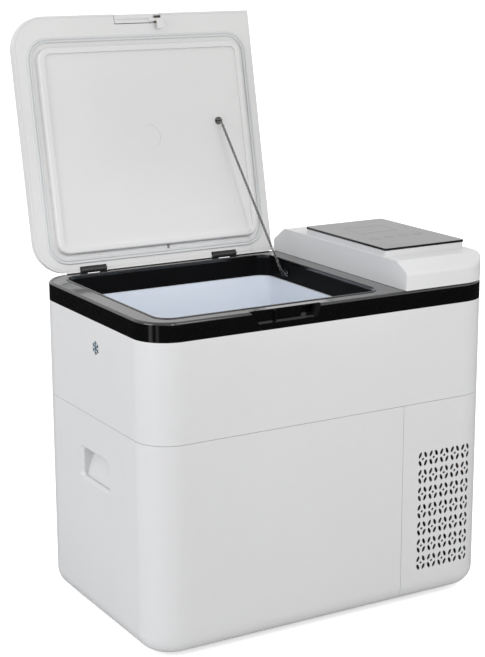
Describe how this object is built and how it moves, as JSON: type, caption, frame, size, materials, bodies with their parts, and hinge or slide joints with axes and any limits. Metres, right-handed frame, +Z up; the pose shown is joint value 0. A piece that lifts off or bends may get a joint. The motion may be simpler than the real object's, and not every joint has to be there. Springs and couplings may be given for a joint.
{
  "type": "compressor cooler fridge",
  "caption": "Portable compressor cooler fridge: insulated box with a hinged latching lid held by a chain, side grip pockets, control housing and vented compressor bay.",
  "frame": {"origin": "centre of the lower face of the base ring that the fridge stands on, under the middle of the casing", "axes": "+X along the long side towards the compressor end, -Y is the front with the latch and vent, +Z up"},
  "size_m": [0.5705, 0.4679, 0.8643],
  "materials": {
    "shell_white": "satin",
    "rim_black": "gloss",
    "collar_black": "matte",
    "liner_white": "satin",
    "lid_white": "satin",
    "housing_white": "satin",
    "panel_black": "gloss",
    "black_plastic": "matte",
    "grey_plastic": "matte",
    "foam": "matte",
    "gasket": "matte",
    "black_rubber": "matte",
    "steel": "satin",
    "chain_steel": "polished",
    "aluminium": "satin",
    "copper": "satin",
    "compressor_black": "gloss",
    "board_green": "matte",
    "lamp_lens": "frosted",
    "emblem_teal": "matte"
  },
  "bodies": {
    "base": {"lower_shell": "shell_white", "compressor_cover": "shell_white", "upper_shell": "shell_white", "handle_pocket_left": "shell_white", "handle_pocket_right": "shell_white", "case_screws": "steel", "base_ring": "black_plastic", "bulkhead": "black_plastic", "top_rim": "rim_black", "well_collar": "collar_black", "rim_bead": "black_rubber", "rim_chain_eye": "chain_steel", "inner_liner": "liner_white", "interior_lamp": "lamp_lens", "temperature_probe": "grey_plastic", "evaporator": "aluminium", "insulation_foam": "foam", "compressor_foot": "steel", "grommets": "black_rubber", "compressor_bolts": "steel", "machine_plate": "steel", "compressor": "compressor_black", "condenser_fins": "aluminium", "condenser_tube": "copper", "fan_frame": "black_plastic", "fan_shaft": "steel", "filter_drier": "copper", "discharge_pipe": "copper", "suction_pipe": "copper", "driver_bracket": "steel", "compressor_driver": "aluminium", "dc_inlet": "black_plastic", "fuse_holder": "black_plastic", "control_cable": "black_rubber", "control_housing": "housing_white", "touch_panel": "panel_black", "display_board": "board_green", "hinge_brackets": "black_plastic", "hinge_pins": "steel", "lid_chain": "chain_steel", "snow_emblem": "emblem_teal"},
    "lid": {"lid_shell": "lid_white", "lid_liner": "lid_white", "lid_foam": "foam", "lid_gasket": "gasket", "foam_port_plug": "lid_white", "lid_magnet": "grey_plastic", "lid_chain_eye": "chain_steel", "lid_knuckles": "black_plastic", "latch_pin": "steel", "latch_spring": "steel"},
    "latch": {"latch_lever": "lid_white"},
    "fan": {"fan_rotor": "grey_plastic"}
  },
  "joints": [
    {"name": "lid_hinge", "type": "hinge", "parent": "base", "child": "lid", "pos_m": [-0.081, 0.181, 0.488], "axis": [1, 0, 0], "range_deg": [0, 101.5], "deforming": ["lid_chain"]},
    {"name": "latch_hinge", "type": "hinge", "parent": "lid", "child": "latch", "pos_m": [-0.082, 0.26782, 0.85455], "axis": [1, 0, 0], "range_deg": [-28, 0], "stiffness_Nm_per_rad": 0.05, "springref_deg": 2.86, "deforming": ["latch_spring"]},
    {"name": "fan_spin", "type": "hinge", "parent": "base", "child": "fan", "pos_m": [0.196, -0.1375, 0.145], "axis": [0, 1, 0], "continuous": true}
  ]
}
